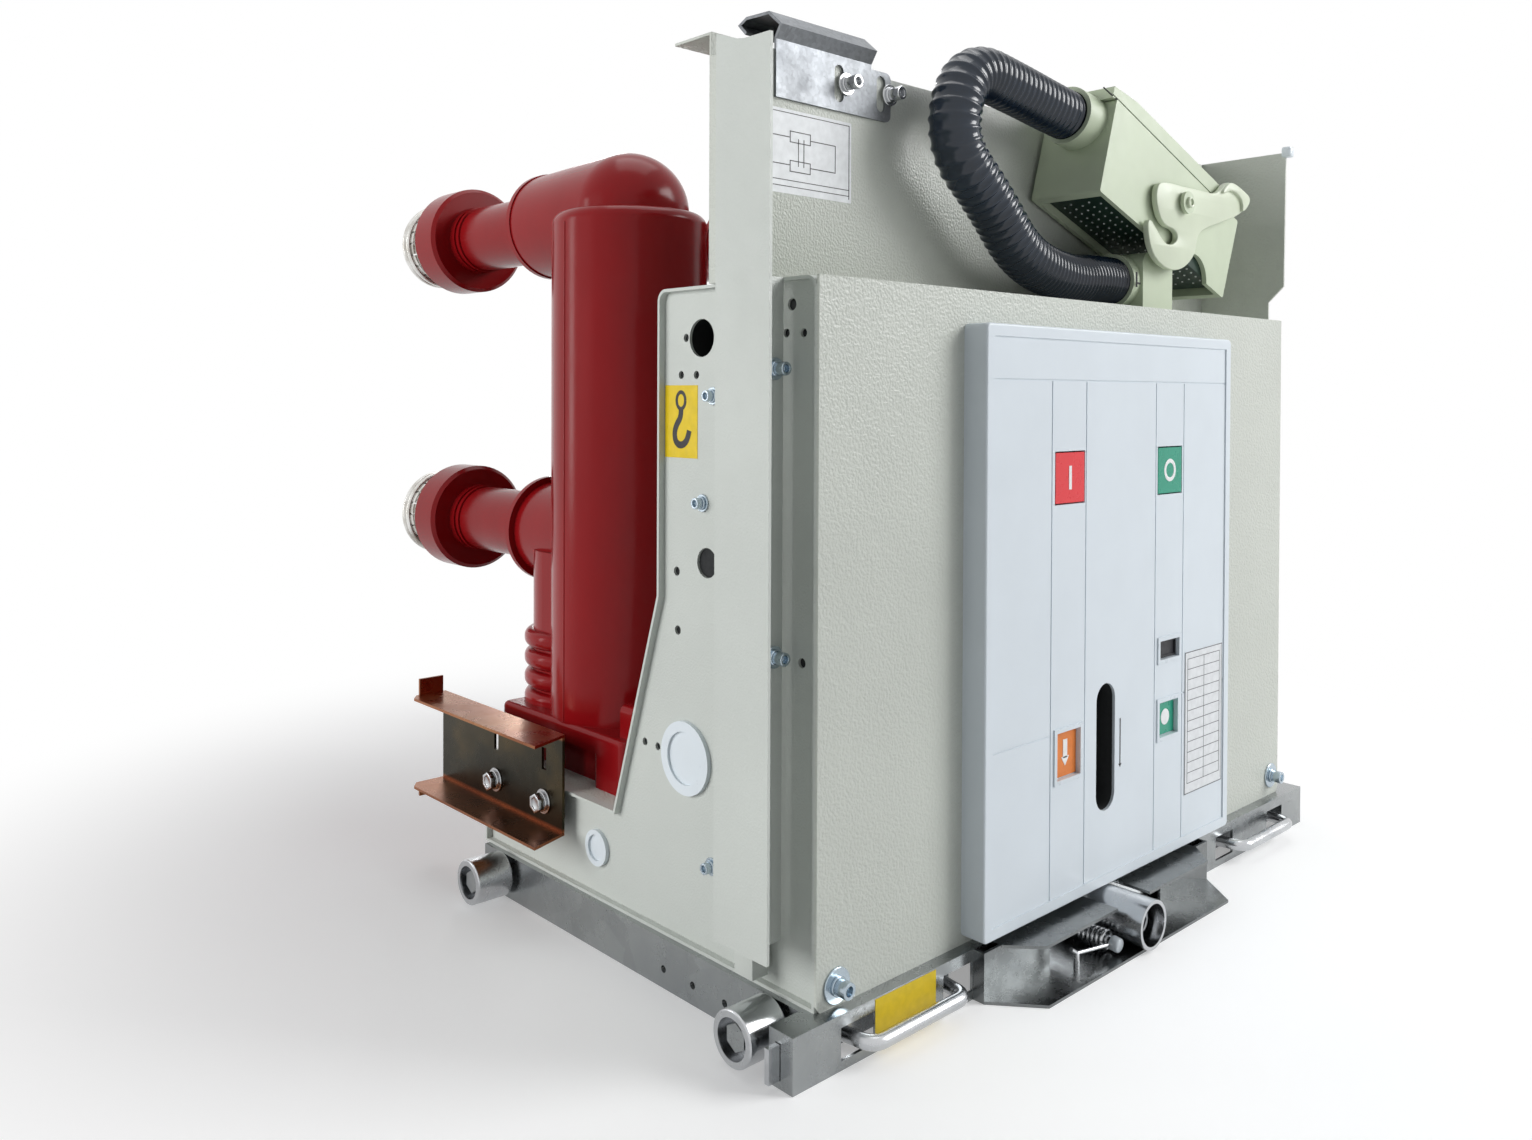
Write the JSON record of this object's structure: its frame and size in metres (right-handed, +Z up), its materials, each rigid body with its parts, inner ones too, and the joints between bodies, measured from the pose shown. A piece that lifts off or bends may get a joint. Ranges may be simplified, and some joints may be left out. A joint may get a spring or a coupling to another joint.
{
  "type": "withdrawable vacuum circuit breaker",
  "caption": "Medium-voltage vacuum circuit breaker on a withdrawable truck, with cast-resin poles, sheet-steel mechanism housing, operator panel and hose-fed control plug.",
  "frame": {"origin": "middle of the bounding box, on the floor under the truck", "axes": "+X to the right seen from the operator panel, +Y from the panel back to the contacts, +Z up"},
  "size_m": [0.652, 0.65, 0.6301],
  "materials": {
    "beige_paint": "fine textured powder coat",
    "panel_plastic": "satin moulded plastic",
    "window_trim": "satin",
    "red_button": "gloss",
    "green_button": "gloss",
    "white_cap": "satin",
    "dark_steel": "satin",
    "galvanised_steel": "galvanised",
    "bright_steel": "bright zinc plated",
    "passivated_steel": "yellow passivated",
    "red_epoxy": "gloss cast resin",
    "silvered_copper": "silver plated",
    "hose_black": "gloss corrugated",
    "plug_green": "satin moulded plastic",
    "lever_green": "satin moulded plastic"
  },
  "bodies": {
    "breaker": {"centre_tray": "galvanised_steel", "charge_window": "window_trim", "contact_lower_centre": "silvered_copper", "contact_lower_left": "silvered_copper", "contact_lower_right": "silvered_copper", "contact_upper_centre": "silvered_copper", "contact_upper_left": "silvered_copper", "contact_upper_right": "silvered_copper", "counter_window": "window_trim", "front_cover": "beige_paint", "guard_plate": "beige_paint", "hole_cap_left": "white_cap", "hole_cap_right": "white_cap", "hook_bracket_left": "galvanised_steel", "hook_bracket_right": "galvanised_steel", "hose": "hose_black", "hose_elbow": "plug_green", "mechanism_case_front": "beige_paint", "mechanism_case_rear": "beige_paint", "operator_panel": "panel_plastic", "plug_body": "plug_green", "pole_base": "beige_paint", "pole_centre": "red_epoxy", "pole_left": "red_epoxy", "pole_right": "red_epoxy", "position_window": "window_trim", "racking_case": "galvanised_steel", "shutter_rail_left": "passivated_steel", "shutter_rail_right": "passivated_steel", "side_plate_left": "beige_paint", "side_plate_right": "beige_paint", "side_strip_left": "beige_paint", "side_wing_right": "beige_paint", "truck_frame": "galvanised_steel"},
    "close_button": {"close_button": "red_button"},
    "open_button": {"open_button": "green_button"},
    "charging_lever": {"charging_lever": "dark_steel"},
    "handle_left": {"handle_left": "bright_steel"},
    "handle_right": {"handle_right": "bright_steel"},
    "roller_front_left": {"roller_front_left": "bright_steel"},
    "roller_front_right": {"roller_front_right": "bright_steel"},
    "roller_rear_left": {"roller_rear_left": "bright_steel"},
    "roller_rear_right": {"roller_rear_right": "bright_steel"},
    "plug_lever": {"plug_lever": "lever_green"},
    "racking_socket": {"racking_socket": "bright_steel"}
  },
  "joints": [
    {"name": "close_button_press", "type": "slide", "parent": "breaker", "child": "close_button", "axis": [0, 1, 0], "range_m": [0, 0.004], "stiffness_N_per_m": 400, "springref_m": -0.004},
    {"name": "open_button_press", "type": "slide", "parent": "breaker", "child": "open_button", "axis": [0, 1, 0], "range_m": [0, 0.004], "stiffness_N_per_m": 400, "springref_m": -0.004},
    {"name": "charging_lever_swing", "type": "hinge", "parent": "breaker", "child": "charging_lever", "pos_m": [-0.0195, -0.242, 0.112], "axis": [1, 0, 0], "range_deg": [0, 45], "stiffness_Nm_per_rad": 0.6, "springref_deg": -17.19},
    {"name": "handle_left_slide", "type": "slide", "parent": "breaker", "child": "handle_left", "axis": [1, 0, 0], "range_m": [0, 0.01], "stiffness_N_per_m": 500, "springref_m": -0.012},
    {"name": "handle_right_slide", "type": "slide", "parent": "breaker", "child": "handle_right", "axis": [-1, 0, 0], "range_m": [0, 0.01], "stiffness_N_per_m": 500, "springref_m": -0.012},
    {"name": "roller_front_left_turn", "type": "hinge", "parent": "breaker", "child": "roller_front_left", "pos_m": [-0.31175, -0.24, 0.0185], "axis": [1, 0, 0], "continuous": true},
    {"name": "roller_rear_left_turn", "type": "hinge", "parent": "breaker", "child": "roller_rear_left", "pos_m": [-0.31175, 0.058, 0.0185], "axis": [1, 0, 0], "continuous": true},
    {"name": "roller_front_right_turn", "type": "hinge", "parent": "breaker", "child": "roller_front_right", "pos_m": [0.31175, -0.24, 0.0185], "axis": [1, 0, 0], "continuous": true},
    {"name": "roller_rear_right_turn", "type": "hinge", "parent": "breaker", "child": "roller_rear_right", "pos_m": [0.31175, 0.058, 0.0185], "axis": [1, 0, 0], "continuous": true},
    {"name": "plug_lever_turn", "type": "hinge", "parent": "breaker", "child": "plug_lever", "pos_m": [0.1474, -0.2525, 0.54], "axis": [0, 1, 0], "range_deg": [-70, 0]},
    {"name": "racking_socket_turn", "type": "hinge", "parent": "breaker", "child": "racking_socket", "pos_m": [-0.0155, -0.282, 0.019], "axis": [0, 1, 0], "continuous": true}
  ]
}
